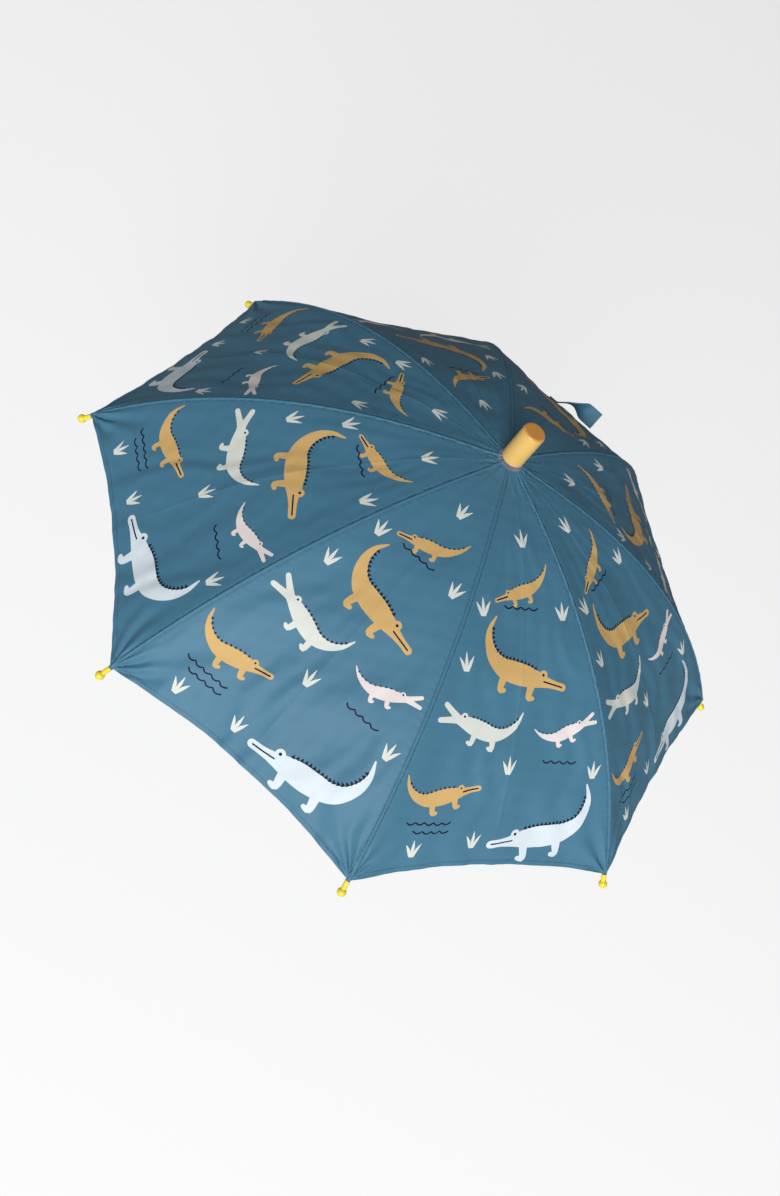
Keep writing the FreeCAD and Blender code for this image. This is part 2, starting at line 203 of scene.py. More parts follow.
def relief(x, v, place, turn):
    """Height of the cloth over the plain gore, in mm."""
    width = half_width(v)
    radius = width / math.sin(HALF)
    seam = width - np.abs(x)
    hem = rim_at(x) - v
    down = v / 375
    loose = swell(place, 70)
    fine = swell(place, 16, shift=1)
    height = -8.5 * down**2 * (1.35 - down) * (1 - (x / np.maximum(width, 1))**2)
    height += 0.9 * loose * fade(seam, 0, 30) * fade(v, 20, 90)
    flute = np.sin(19 * x / np.maximum(width, 20) + 1.8 * loose)
    height += 0.50 * flute * fade(seam, 3, 22) * fade(v, 40, 120) * (0.4 + 0.6 * fade(v, 160, 340))
    height += 0.15 * fine * fade(seam, 2, 12)
    height += (0.55 + 0.12 * fine) * np.exp(-(seam / 1.35)**6)
    height -= 0.42 * np.exp(-((seam - 2.2) / 0.8)**2)
    height += 0.16 * np.exp(-seam / 5) * fade(seam, 1.5, 4) * np.sin(v / 1.15 + 2 * loose)
    crown = np.exp(-np.maximum(radius - 13, 0) / 17)
    height += 0.42 * crown * np.sin(29 * turn + 1.6 * fine) + 0.3 * crown**0.5 * np.sin(17 * turn + 2 * loose)
    from_tip = np.hypot(RIM_WAY - v, seam)
    around = np.arctan2(seam, np.maximum(RIM_WAY - v, 0.01))
    gather = fade(from_tip, 2, 14) * np.exp(-from_tip / 38) * fade(around, 0.03, 0.25)
    height += 3.2 * gather * np.sin(9.5 * around + 1.1 * loose + 0.5) * (1 - 0.4 * around)
    height += 0.35 * np.exp(-(x / 1.1)**2) * fade(v, 30, 60) * fade(hem, 4, 60)
    height += 0.3 * fade(-hem, -5.4, -4.7) - 0.22 * np.exp(-((hem - 4.4) / 0.5)**2)
    height += 0.12 * np.exp(-hem / 7) * np.sin(x / 2.3 + 1.4 * loose) * fade(seam, 4, 25)
    return height


# %% Cloth in space
CROWN_LIFT = 4.0
CROWN_R = 30.0
CLOTH = 0.45


def cloth_at(x, v, panel):
    """Where the outer face of the cloth is in the frame, in mm, for gore number panel."""
    middle = math.radians(45 * (panel + 0.5))
    radius = np.interp(v, bow_way, bow_radius)
    slope = np.interp(v, bow_way, bow_slope)
    height = np.interp(v, bow_way, bow_height)
    height = height + CROWN_LIFT * np.maximum(0, 1 - radius / math.cos(HALF) / CROWN_R)**2

    def turned(out, side, up):
        c, s = math.cos(middle), math.sin(middle)
        return np.stack([out * c - side * s, out * s + side * c, up], axis=-1)

    plain = turned(radius, x, height + APEX_Z)
    turn = middle + np.arctan2(x, np.maximum(radius, 1))
    rise = relief(x, v, plain, turn)
    size = np.hypot(1, slope)
    out = radius - slope / size * rise
    return turned(out, x * out / radius, height + APEX_Z + rise / size)


def cloth_normal(x, v, panel):
    step = 0.4
    across = cloth_at(x + step, v, panel) - cloth_at(x - step, v, panel)
    down = cloth_at(x, v + step, panel) - cloth_at(x, v - step, panel)
    normal = np.cross(down, across)
    return normal / np.linalg.norm(normal, axis=1)[:, None]


probe = cloth_at(np.array([0.0, 60.0]), np.array([200.0, 300.0]), 8)
print("two places on gore 8", probe.round(1).tolist())

# %% [markdown]
# ## Drawing tools for the print
# The cloth is printed with crocodiles, waves and tufts of grass, one set to each gore. A picture texture isn't used:
# each motif is an outline, and the cloth's mesh is cut along it, so that its edge stays sharp at any distance. A
# crocodile is mostly a `limb`: a smooth middle line with a width at each point.

# %% Drawing tools
def smooth(points, step=1.6):
    """A smooth line through the points, which may carry a width as a third number."""
    p = np.array(points, float)
    if len(p) < 3:
        return p
    p = np.vstack([2 * p[0] - p[1], p, 2 * p[-1] - p[-2]])
    runs = []
    for a, b, c, d in zip(p, p[1:], p[2:], p[3:]):
        count = max(2, round(float(np.hypot(*(c - b)[:2])) / step))
        t = np.arange(count)[:, None] / count
        runs.append(b + 0.5 * ((c - a) * t + (2 * a - 5 * b + 4 * c - d) * t**2 + (3 * (b - c) + d - a) * t**3))
    return np.vstack(runs + [p[-2:-1]])


def sides(points, step=1.6):
    """Middle line, unit normals to its left, and half widths."""
    line = smooth(points, step)
    ahead = np.gradient(line[:, :2], axis=0)
    ahead /= np.maximum(np.linalg.norm(ahead, axis=1), 1e-9)[:, None]
    return line[:, :2], np.stack([-ahead[:, 1], ahead[:, 0]], axis=1), np.maximum(line[:, 2:], 0.4) / 2


def limb(points, step=1.6):
    """Outline of a tapered shape about a smooth line of (x, v, width), with round ends."""
    middle, left, half = sides(points, step)

    def cap(i, toward):
        turns = np.linspace(0, math.pi, max(5, int(half[i, 0] * 2.2)))[1:-1, None]
        ahead = np.array([left[i, 1], -left[i, 0]]) * toward
        return middle[i] + half[i] * (left[i] * toward * np.cos(turns) + ahead * np.sin(turns))

    return np.vstack([middle + left * half, cap(-1, 1), (middle - left * half)[::-1], cap(0, -1)])


def stroke(points, width=1.4):
    return limb([(x, v, width) for x, v in points])


def dot(x, v, radius):
    turns = np.linspace(0, 2 * math.pi, max(7, int(radius * 6)), endpoint=False)
    return np.stack([x + radius * np.cos(turns), v + radius * np.sin(turns)], axis=1)


def along_edge(points, side, start, stop, count, inset=0.0):
    """Evenly spaced (place, outward direction) along one side of a limb, from start to stop of its length."""
    middle, left, half = sides(points)
    edge = middle + side * left * (half - inset)
    way = np.concatenate([[0], np.cumsum(np.linalg.norm(np.diff(edge, axis=0), axis=1))])
    for at in np.linspace(start, stop, count) * way[-1]:
        place = np.array([np.interp(at, way, edge[:, i]) for i in (0, 1)])
        out = np.array([np.interp(at, way, side * left[:, i]) for i in (0, 1)])
        yield place, out / np.linalg.norm(out)


def spikes(points, side, start, stop, count, height, base):
    shapes = []
    for place, out in along_edge(points, side, start, stop, count, inset=0.3):
        ahead = np.array([-out[1], out[0]])
        shapes.append(np.array([place - base * ahead, place + height * out, place + base * ahead]))
    return shapes


# %% [markdown]
# ## Grass and water
# Each function below draws one motif in the gore's flat millimetres and adds its outlines to `print_list`
# with the name of its ink. What comes later lies on top.

# %% Motifs: small ones
INKS = ["fabric", "ochre", "white", "cool_white", "pink", "navy"]
print_list = []


def ink(name, *outlines):
    for outline in outlines:
        room = half_width(outline[:, 1]) - 1.8
        inside_seams = np.clip(outline[:, 0], -room, room)
        print_list.append((INKS.index(name), np.stack([inside_seams, outline[:, 1]], axis=1)))


BLADES = [(-1.6, -5.6, 11), (0, -0.6, 15.5), (1.6, 5, 12.5)]


def tuft(x, v):
    """Grass: each blade has a root beside the middle, a lean and a height."""
    for beside, lean, height in BLADES:
        root = x + beside
        ink("white", limb([(root, v, 2.2), (root + lean * 0.4, v - height * 0.5, 2.9), (root + lean, v - height, 0.4)]))


def water(x, v, bumps, pitch=8.6):
    """A line of small waves."""
    points = []
    for i in range(bumps):
        points += [(x + pitch * i, v), (x + pitch * (i + 0.35), v + 2.1), (x + pitch * (i + 0.75), v + 1.5)]
    ink("navy", stroke(points + [(x + pitch * bumps, v)]))


# %% [markdown]
# ## One plain crocodile
# Every animal of the print comes from this one function: a tapered body whose share of the length and width is the
# same at any size, two stub legs, a row of back spikes, an eye and a mouth. Heading, curl of the tail, the side that
# the back is on and how wide the jaws open make them differ.

# %% Motifs: crocodile
BODY = [(1.0, 0.060), (0.92, 0.062), (0.84, 0.085), (0.76, 0.125), (0.65, 0.165), (0.53, 0.170), (0.42, 0.145),
        (0.31, 0.105), (0.20, 0.070), (0.10, 0.040), (0.0, 0.012)]
JAW_ROOT = 0.84
JAW = [(-0.02, 0.085), (0.10, 0.062), (0.21, 0.052)]


def heading(degrees):
    return np.array([math.cos(math.radians(degrees)), math.sin(math.radians(degrees))])


def crocodile(x, v, long, turn, curl, skin, back=1, gape=0):
    """A crocodile about (x, v), from snout to tail; turn, curl and gape are in degrees."""
    share, width = np.array([row for row in BODY if not gape or row[0] <= JAW_ROOT]).T
    middle_share = (share[1:] + share[:-1]) / 2
    bearing = math.radians(turn) + back * math.radians(curl) * np.clip(0.5 - middle_share, 0, 0.5) / 0.5
    ahead = np.stack([np.cos(bearing), np.sin(bearing)], axis=1) * np.diff(share)[:, None] * long
    path = np.vstack([[0, 0], np.cumsum(ahead, axis=0)])
    path += np.array([x, v]) - (path.min(axis=0) + path.max(axis=0)) / 2
    body = [(*place, w * long) for place, w in zip(path, width)]
    for place, out in list(along_edge(body, -back, 0.26, 0.50, 2, inset=1.0)):
        foot = place + 0.085 * long * out
        toes = foot + 0.04 * long * heading(turn)
        ink(skin, limb([(*(place - 2 * out), 0.07 * long), (*foot, 0.05 * long), (*toes, 0.035 * long)]))
    ink(skin, limb(body))
    for open_way in (1, -1) if gape else ():
        toward = heading(turn + open_way * gape / 2)
        jaw = [(*(path[0] + reach * long * toward), w * long) for reach, w in JAW]
        ink(skin, limb(jaw))
    spiked_from, brow_at = (0.18, 0.06) if gape else (0.30, 0.21)
    ink("navy", *spikes(body, back, spiked_from, 0.90, round(long / 7), 0.030 * long, 0.016 * long))
    brow, _ = next(along_edge(body, back, brow_at, 1, 1, inset=0.5))
    ink(skin, dot(*brow, 0.036 * long))
    ink("navy", dot(*brow, max(0.9, 0.012 * long)))
    if not gape:
        ink("navy", stroke([tuple(path[0] + (path[2] - path[0]) * t) for t in (0.05, 0.5, 1.1)]))


crocodile(-2, 116, 68, 160, 60, "ochre", back=-1)
crocodile(4, 177, 116, 12, 120, "ochre")
crocodile(-27, 240, 90, 200, 95, "white", back=-1, gape=44)
crocodile(44, 244, 64, -28, 70, "pink", gape=36)
crocodile(-64, 298, 86, -14, 100, "ochre")
crocodile(43, 322, 130, 172, 115, "cool_white", back=-1)

# %% Motifs: grass and water
for place in ((0, 84), (-42, 148), (40, 146), (-2, 284), (-57, 196), (88, 286), (-80, 362), (-22, 354)):
    tuft(*place)
for wave in ((-20, 138, 4), (34, 272, 4), (-92, 330, 5), (-84, 338, 4)):
    water(*wave)
print("outlines in the print:", len(print_list))

# %% [markdown]
# ## One flat gore, cut along its print
# The flat gore is triangulated once, through a Delaunay triangulation that keeps chosen lines: the gore's outline,
# the motifs, the middle crease, and a line 40 mm in from each seam. The last two are where the cloth folds when the
# umbrella closes. All eight gores use this mesh.

# %% Points and lines of the flat gore
TOP = float(np.interp(5.2, steps, bow_way))
BAND = 37.0 / math.cos(HALF)
points2d = []
lines2d = []


def add_points(pairs):
    first = len(points2d)
    points2d.extend((float(x), float(v)) for x, v in pairs)
    return first


def add_line(pairs, closed=False):
    pairs = np.asarray(pairs)
    first = add_points(pairs)
    count = len(pairs)
    lines2d.extend((first + i, first + i + 1) for i in range(count - 1))
    if closed:
        lines2d.append((first + count - 1, first))


seam_way = np.concatenate([np.arange(TOP, RIM_WAY - 1, 2.0), [RIM_WAY]])
for side in (-1, 1):
    add_line(np.stack([side * half_width(seam_way), seam_way], axis=1))
add_line([(-half_width(TOP), TOP), (half_width(TOP), TOP)])
rim_x = np.linspace(-RIM_HALF, RIM_HALF, 108)
rim_v = rim_at(rim_x)
rim_v[[0, -1]] = RIM_WAY
add_line(np.stack([rim_x, rim_v], axis=1))
band_way = np.concatenate([
    [np.interp(BAND / math.tan(HALF), bow_radius, bow_way)],
    np.arange(100.0, 384.0, 4.0),
])
band_x = half_width(band_way) - BAND
keep_row = band_way < rim_at(band_x)
band_end = np.array([RIM_WAY - 2.0])
for _ in range(20):
    band_end = rim_at(half_width(band_end) - BAND)
band_way = np.concatenate([band_way[keep_row], band_end])
band_x = half_width(band_way) - BAND
for side in (-1, 1):
    add_line(np.stack([side * band_x, band_way], axis=1))
crease_way = np.concatenate([[TOP], np.arange(16.0, float(rim_at(0)), 3.5), [float(rim_at(0))]])
add_line(np.stack([0 * crease_way, crease_way], axis=1))
for colour, outline in print_list:
    add_line(outline, closed=True)
print("points on lines", len(points2d))

# %% Points between the lines
fixed = np.array(points2d)
spread = []
for offset in (0.7, 1.35, 1.8, 2.3, 3.0, 4.4, 6.6):
    for side in (-1, 1):
        shifted = seam_way + (1.0 if offset > 2.5 else 0)
        spread.append(np.stack([side * (half_width(seam_way) - offset), shifted], axis=1))
for offset in (0.7, 1.6):
    for side in (-1, 1):
        spread.append(np.stack([0 * crease_way + side * offset, crease_way + 1.7], axis=1))
for offset in (0.9, 3.8, 4.4, 5.0, 5.8):
    spread.append(np.stack([rim_x, rim_at(rim_x) - offset], axis=1))
for pitch, only_folds in ((4.0, False), (2.2, True)):
    rows = np.arange(TOP + pitch, RIM_WAY, pitch * 0.87)
    for i, v in enumerate(rows):
        xs = np.arange(-RIM_HALF, RIM_HALF, pitch) + (i % 2) * pitch / 2
        row = np.stack([xs, 0 * xs + v], axis=1)
        if only_folds:
            from_tip = np.hypot(half_width(v) - np.abs(xs), RIM_WAY - v)
            row = row[(from_tip < 55) | (v < 62)]
        spread.append(row)
spread = np.vstack(spread)
inside = (np.abs(spread[:, 0]) < half_width(spread[:, 1]) - 0.4) & (spread[:, 1] > TOP + 0.4)
inside &= spread[:, 1] < rim_at(spread[:, 0]) - 0.5
spread = spread[inside]
cell = 0.9
taken = {(round(x / cell), round(v / cell)) for x, v in fixed}
for x, v in spread:
    key = (round(x / cell), round(v / cell))
    if key not in taken:
        taken.add(key)
        points2d.append((float(x), float(v)))
print("points in all", len(points2d))

# %% Cut and triangulate
flat_points, _, flat_faces, _, _, _ = geometry.delaunay_2d_cdt(
    [Vector(p) for p in points2d], lines2d, [], 1, 1e-4
)
flat = np.array([tuple(p) for p in flat_points])
faces = np.array([tuple(f) for f in flat_faces])
corners = flat[faces]
area2 = np.cross(corners[:, 1] - corners[:, 0], corners[:, 2] - corners[:, 0])
faces = np.where((area2 > 0)[:, None], faces[:, ::-1], faces)
faces = faces[np.abs(area2) > 1e-7]
centres = flat[faces].mean(axis=1)
print("triangles in a gore", len(faces))


def within(outline, places):
    """True where a place is inside the outline, by how often the outline winds round it."""
    a, b = outline, np.roll(outline, -1, axis=0)
    x, y = places[:, :1], places[:, 1:]
    side = (b[:, 0] - a[:, 0]) * (y - a[:, 1]) - (x - a[:, 0]) * (b[:, 1] - a[:, 1])
    up = (a[:, 1] <= y) & (b[:, 1] > y) & (side > 0)
    down = (a[:, 1] > y) & (b[:, 1] <= y) & (side < 0)
    return up.sum(axis=1) != down.sum(axis=1)


face_ink = np.zeros(len(faces), int)
for colour, outline in print_list:
    near = np.all((centres > outline.min(axis=0)) & (centres < outline.max(axis=0)), axis=1)
    chosen = np.flatnonzero(near)
    face_ink[chosen[within(outline, centres[chosen])]] = colour
fold_x = np.interp(centres[:, 1], band_way, band_x, left=-1)
face_part = np.where(np.abs(centres[:, 0]) > fold_x, "band", "wing")
print("faces of each ink", np.bincount(face_ink).tolist())

# %% [markdown]
# ## The cloth's finish
# The cloth is fine plain-woven polyester with a soft sheen. Its weave is too fine to model as geometry, so it is in
# the bump of the finish, and it follows the flat gore through the UV map. Where the seam and hem are sewn, two
# mesh attributes tell the material how far a place is from the stitch line. Each ink is the same cloth in another
# colour, and the inside shows the print faintly.

# %% Cloth finish
def finish(name, colour, rough, metallic=0.0, sheen=0.0, specular=0.5, coat=0.0):
    """A material whose plain numbers sit on the shader, and the nodes that a pattern is built with."""
    made = bpy.data.materials.new(name)
    made.use_nodes = True
    tree = made.node_tree
    shader = tree.nodes["Principled BSDF"]
    shader.inputs["Base Color"].default_value = (*colour, 1)
    for socket, value in (
        ("Roughness", rough), ("Metallic", metallic), ("Specular IOR Level", specular),
        ("Coat Weight", coat), ("Coat Roughness", 0.12),
    ):
        shader.inputs[socket].default_value = value
    if sheen:
        shader.inputs["Sheen Weight"].default_value = sheen
        shader.inputs["Sheen Roughness"].default_value = 0.45
    return made, tree, shader


def node(tree, kind, links=(), **values):
    """Adds a node, sets its properties or inputs by name, and links sockets to its inputs."""
    made = tree.nodes.new(kind)
    for key, value in values.items():
        if hasattr(made, key):
            setattr(made, key, value)
        else:
            made.inputs[key.replace("_", " ").title()].default_value = value
    for where, source in links:
        tree.links.new(source, made.inputs[where])
    return made


def math_node(tree, operation, first, second=0.0, third=0.0):
    made = tree.nodes.new("ShaderNodeMath")
    made.operation = operation
    for i, value in enumerate((first, second, third)):
        if isinstance(value, (int, float)):
            made.inputs[i].default_value = value
        else:
            tree.links.new(value, made.inputs[i])
    return made.outputs[0]


def tinted(tree, factor, low, high):
    """A colour between low, which may be another node's output, and high, by a factor."""
    mix = tree.nodes.new("ShaderNodeMix")
    mix.data_type = "RGBA"
    tree.links.new(factor, mix.inputs["Factor"])
    if isinstance(low, tuple):
        mix.inputs["A"].default_value = (*low, 1)
    else:
        tree.links.new(low, mix.inputs["A"])
    mix.inputs["B"].default_value = (*high, 1)
    return mix.outputs["Result"]


def scaled(colour, times):
    return tuple(min(1, c * times) for c in colour)


def noise(tree, place, scale, detail):
    return node(tree, "ShaderNodeTexNoise", [("Vector", place)], Scale=scale, Detail=detail).outputs["Fac"]


def bump(tree, shader, height, distance, strength):
    made = node(tree, "ShaderNodeBump", [("Height", height)], Distance=distance, Strength=strength)
    tree.links.new(made.outputs[0], shader.inputs["Normal"])


STITCHES_PER_M = 310


def cloth_finish(name, colour, stitched=False, satin=0.08):
    made, tree, shader = finish(name, colour, 0.57, specular=satin)
    flat_map = node(tree, "ShaderNodeUVMap", uv_map="flat").outputs[0]
    place = node(tree, "ShaderNodeTexCoord").outputs["Object"]
    shade = tinted(tree, noise(tree, place, 9.0, 4.0), scaled(colour, 0.93), scaled(colour, 1.06))
    warp = node(tree, "ShaderNodeTexWave", [("Vector", flat_map)], Scale=480.0).outputs["Fac"]
    weft = node(tree, "ShaderNodeTexWave", [("Vector", flat_map)], bands_direction="Y", Scale=480.0).outputs["Fac"]
    weave = math_node(tree, "ADD", warp, weft)
    slub = noise(tree, flat_map, 900.0, 2.0)
    relief_sum = math_node(tree, "MULTIPLY_ADD", slub, 0.6, weave)
    if stitched:
        seam = node(tree, "ShaderNodeAttribute", attribute_name="seam").outputs["Fac"]
        hem = node(tree, "ShaderNodeAttribute", attribute_name="hem").outputs["Fac"]
        away = math_node(tree, "ABSOLUTE", math_node(tree, "SUBTRACT", seam, 1.95))
        by_hem = math_node(tree, "ABSOLUTE", math_node(tree, "SUBTRACT", hem, 4.4))
        split = node(tree, "ShaderNodeSeparateXYZ", [("Vector", flat_map)]).outputs
        rows = []
        for gap, width, axis in ((away, 0.28, "Y"), (by_hem, 0.26, "X")):
            along = math_node(tree, "FRACT", math_node(tree, "MULTIPLY", split[axis], STITCHES_PER_M))
            dash = math_node(tree, "LESS_THAN", along, 0.72)
            rows.append(math_node(tree, "MULTIPLY", math_node(tree, "LESS_THAN", gap, width), dash))
        thread = math_node(tree, "MAXIMUM", *rows)
        # soft darkens the cloth up to about 1 mm either side of the seam's stitch line: painted shade of the seam's
        # groove. The dashed dark rows are the thread's own colour.
        soft = node(tree, "ShaderNodeMapRange", [("Value", away)], from_min=0.1, from_max=1.1, to_min=0.16, to_max=0.0)
        lines = math_node(tree, "MAXIMUM", math_node(tree, "MULTIPLY", thread, 0.75), soft.outputs[0])
        shade = tinted(tree, lines, shade, scaled(colour, 0.42))
        relief_sum = math_node(tree, "MULTIPLY_ADD", thread, 2.5, relief_sum)
    tree.links.new(shade, shader.inputs["Base Color"])
    bump(tree, shader, relief_sum, 0.00005, 0.35)
    return made


INK_COLOURS = {
    "fabric": (0.051, 0.162, 0.250), "ochre": (0.58, 0.375, 0.145), "white": (0.62, 0.645, 0.595),
    "cool_white": (0.61, 0.68, 0.73), "pink": (0.72, 0.65, 0.635), "navy": (0.008, 0.013, 0.034),
}
cloth_outside = []
cloth_inside = []
for name in INKS:
    colour = INK_COLOURS[name]
    bare = name == "fabric"
    cloth_outside.append(cloth_finish(f"cloth_{name}", colour, bare, 0.34 if bare else 0.08))
    faint = tuple(0.76 * a + 0.26 * b for a, b in zip((0.045, 0.135, 0.225), colour))
    cloth_inside.append(cloth_finish(f"lining_{name}", faint, bare))
print("cloth finishes", len(cloth_outside) + len(cloth_inside))

# %% [markdown]
# ## The canopy, in pieces on the ribs
# Closing the umbrella folds each gore inwards along its middle. So the canopy is made as a band over each rib and
# two wings beside it, all three on that rib's body. Each piece is a thin closed shell: outer face, inner face, and
# edges. The shading normals come from the cloth's formula and not from the triangles, so no edge shows between two
# pieces.

# %% Lay the gore in space
x_flat, v_flat = flat[:, 0], flat[:, 1]
seam_gap = half_width(v_flat) - np.abs(x_flat)
hem_gap = rim_at(x_flat) - v_flat
shell = CLOTH + 0.35 * (1 - fade(seam_gap, 5.0, 5.6)) + 0.3 * (1 - fade(hem_gap, 4.8, 5.4))
outer_place = {}
outer_normal = {}
for panel in range(1, 9):
    outer_place[panel] = cloth_at(x_flat, v_flat, panel)
    outer_normal[panel] = cloth_normal(x_flat, v_flat, panel)
on_seam = {-1: [], 1: []}
for i in np.flatnonzero(seam_gap < 0.01):
    on_seam[-1 if x_flat[i] < 0 else 1].append((round(float(v_flat[i]), 3), int(i)))
left_of = {v: i for v, i in on_seam[-1]}
partner = {i: left_of[v] for v, i in on_seam[1]}
at_seam = set(partner) | set(left_of.values())
print("seam points", len(partner), len(left_of))


# %% Build one piece of cloth
def cloth_piece(name, parts):
    """A closed shell of cloth from faces of one or two gores, given as (panel, chosen faces)."""
    index = {}
    places, normals, flats = [], [], []
    shell_faces, inks = [], []
    counted = set()
    for panel, chosen in parts:
        for f in np.flatnonzero(chosen):
            corner = []
            for i in faces[f].tolist():
                key = ("seam", partner.get(i, i)) if len(parts) == 2 and i in at_seam else (panel, i)
                if key not in index:
                    index[key] = len(places)
                    places.append(outer_place[panel][i])
                    normals.append(np.zeros(3))
                    flats.append((x_flat[i], v_flat[i], seam_gap[i], hem_gap[i], shell[i]))
                at = index[key]
                if (at, panel) not in counted:
                    counted.add((at, panel))
                    normals[at] = normals[at] + outer_normal[panel][i]
                corner.append(at)
            shell_faces.append(corner)
            inks.append(int(face_ink[f]))
    places, normals, flats = np.array(places), np.array(normals), np.array(flats)
    normals /= np.linalg.norm(normals, axis=1)[:, None]
    lower = places - normals * flats[:, 4:5]
    count = len(places)
    edges = dict.fromkeys(pair for a, b, c in shell_faces for pair in ((a, b), (b, c), (c, a)))
    open_edges = [p for p in edges if (p[1], p[0]) not in edges]
    under = [[c + count, b + count, a + count] for a, b, c in shell_faces]
    rims = [[b, a, a + count, b + count] for a, b in open_edges]
    mesh = bpy.data.meshes.new(name)
    all_places = np.vstack([places, lower])
    mesh.from_pydata(all_places * MM, [], shell_faces + under + rims)
    for made in cloth_outside + cloth_inside:
        mesh.materials.append(made)
    slots = inks + [i + len(INKS) for i in inks] + [0] * len(rims)
    mesh.polygons.foreach_set("material_index", slots)
    mesh.shade_smooth()
    corner_point = np.empty(len(mesh.loops), int)
    mesh.loops.foreach_get("vertex_index", corner_point)
    uv = mesh.uv_layers.new(name="flat")
    both = np.vstack([flats, flats])
    uv.data.foreach_set("uv", (both[corner_point, :2] * MM).astype(np.float32).ravel())
    for label, column in (("seam", 2), ("hem", 3)):
        made = mesh.attributes.new(label, "FLOAT", "POINT")
        made.data.foreach_set("value", both[:, column].astype(np.float32))
    loop_normals = np.vstack([normals, -normals])[corner_point]
    first_rim = 3 * 2 * len(shell_faces)
    rim_corners = corner_point[first_rim:].reshape(-1, 4)
    quad = all_places[rim_corners]
    rim_normal = np.cross(quad[:, 2] - quad[:, 0], quad[:, 3] - quad[:, 1])
    rim_normal /= np.maximum(np.linalg.norm(rim_normal, axis=1), 1e-12)[:, None]
    loop_normals[first_rim:] = np.repeat(rim_normal, 4, axis=0)
    mesh.normals_split_custom_set(loop_normals.tolist())
    flat_area = float(sum(
        abs(np.cross(flat[b] - flat[a], flat[c] - flat[a])) / 2 for _, chosen in parts for a, b, c in faces[chosen]
    ))
    return linked(name, mesh), flat_area


# %% All bands and wings
left_side = centres[:, 0] < 0
is_band = face_part == "band"
for rib in range(1, 9):
    before = 8 if rib == 1 else rib - 1
    turn = math.radians(45 * rib)
    band, area = cloth_piece(f"canopy_band_{rib}", [(rib, is_band & left_side), (before, is_band & ~left_side)])
    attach(band, f"rib_{rib}")
    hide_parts(f"canopy_panel_{rib}", f"canopy_panel_{before}")
    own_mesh(band)
    for word, panel, on_side, way in (("left", rib, left_side, 1), ("right", before, ~left_side, -1)):
        wing, area = cloth_piece(f"canopy_{word}_wing_{rib}", [(panel, ~is_band & on_side)])
        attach(wing, f"rib_{rib}")
        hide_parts(f"canopy_panel_{panel}")
        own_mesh(wing)

# %% [markdown]
# ## Finishes of the hard parts
# Moulded plastic is slightly uneven in gloss and colour, and drawn steel has fine lines along its length. Each CAD
# node keeps its shape and only gets its finish here. The ferrule's colour is painted paler on its side than on its
# rounded top: a painted highlight on the side and painted shade on the top.

# %% Plastic and steel
def plastic(name, colour, rough=0.35, top=None, coat=0.15):
    """Moulded plastic with faint clouds, fine flow lines, and another colour above the height in top, which on the
    ferrule is painted shade.
    """
    made, tree, shader = finish(name, colour, rough, specular=0.5, coat=coat)
    place = node(tree, "ShaderNodeTexCoord").outputs["Object"]
    shade = tinted(tree, noise(tree, place, 60.0, 5.0), scaled(colour, 0.93), scaled(colour, 1.05))
    if top:
        low, high, painted_shade_colour = top
        height = node(tree, "ShaderNodeSeparateXYZ", [("Vector", place)]).outputs["Z"]
        ramp = node(tree, "ShaderNodeMapRange", [("Value", height)], from_min=low, from_max=high)
        ramp.interpolation_type = "SMOOTHSTEP"
        shade = tinted(tree, ramp.outputs[0], shade, painted_shade_colour)
    tree.links.new(shade, shader.inputs["Base Color"])
    flow = noise(tree, node(tree, "ShaderNodeMapping", [("Vector", place)], Scale=(900, 900, 60)).outputs[0], 1.0, 3.0)
    rub = node(tree, "ShaderNodeMapRange", [("Value", flow)], to_min=rough - 0.07, to_max=rough + 0.09)
    tree.links.new(rub.outputs[0], shader.inputs["Roughness"])
    bump(tree, shader, flow, 0.00004, 0.3)
    return made


def steel(name, colour, rough, along=(700, 700, 12)):
    """Drawn or folded steel: fine lines along its length, and a few duller patches."""
    made, tree, shader = finish(name, colour, rough, metallic=1.0)
    place = node(tree, "ShaderNodeTexCoord").outputs["Object"]
    line = noise(tree, node(tree, "ShaderNodeMapping", [("Vector", place)], Scale=along).outputs[0], 1.0, 4.0)
    patch = noise(tree, place, 45.0, 3.0)
    both = math_node(tree, "MULTIPLY_ADD", patch, 0.6, line)
    rub = node(
        tree, "ShaderNodeMapRange", [("Value", both)], from_max=1.6, to_min=rough - 0.08, to_max=rough + 0.12,
    )
    tree.links.new(rub.outputs[0], shader.inputs["Roughness"])
    tree.links.new(tinted(tree, patch, scaled(colour, 0.9), colour), shader.inputs["Base Color"])
    bump(tree, shader, line, 0.00003, 0.25)
    return made


OCHRE = (0.64, 0.38, 0.09)
# The ferrule's side colour carries a painted highlight, and its darker top colour above the Z band is painted shade.
ferrule_finish = plastic("ferrule_ochre", (0.72, 0.46, 0.13), 0.42, top=(0.5150, 0.5176, (0.60, 0.27, 0.05)))
handle_finish = plastic("handle_ochre", OCHRE, 0.34)
runner_finish = plastic("runner_ochre", OCHRE, 0.38)
tip_finish = plastic("tip_lemon", (0.80, 0.62, 0.035), 0.26, coat=0.4)
shaft_finish = steel("shaft_plate", (0.72, 0.73, 0.75), 0.20)
rib_finish = steel("rib_zinc", (0.55, 0.56, 0.58), 0.34, (300, 300, 300))
rivet_finish = steel("rivet_zinc", (0.60, 0.60, 0.62), 0.30, (500, 500, 500))
spring_finish = steel("spring_wire", (0.45, 0.46, 0.48), 0.30)

node_finish = {
    "shaft_tube": shaft_finish, "top_spring_catch": spring_finish, "low_spring_catch": spring_finish,
    "top_notch": runner_finish, "notch_wire": rivet_finish, "runner": runner_finish, "runner_wire": rivet_finish,
    "ferrule": ferrule_finish, "crook_handle": handle_finish, "handle_collar": tip_finish,
}
for k in range(1, 9):
    node_finish |= {f"rib_{k}": rib_finish, f"stretcher_{k}": rib_finish}
    node_finish |= {f"joint_rivet_{k}": rivet_finish, f"rib_tip_{k}": tip_finish}
for name, made in node_finish.items():
    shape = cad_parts[name]
    if shape.material_slots:
        shape.material_slots[0].material = made
    else:
        shape.data.materials.append(made)
print("nodes with a finish", len(node_finish))

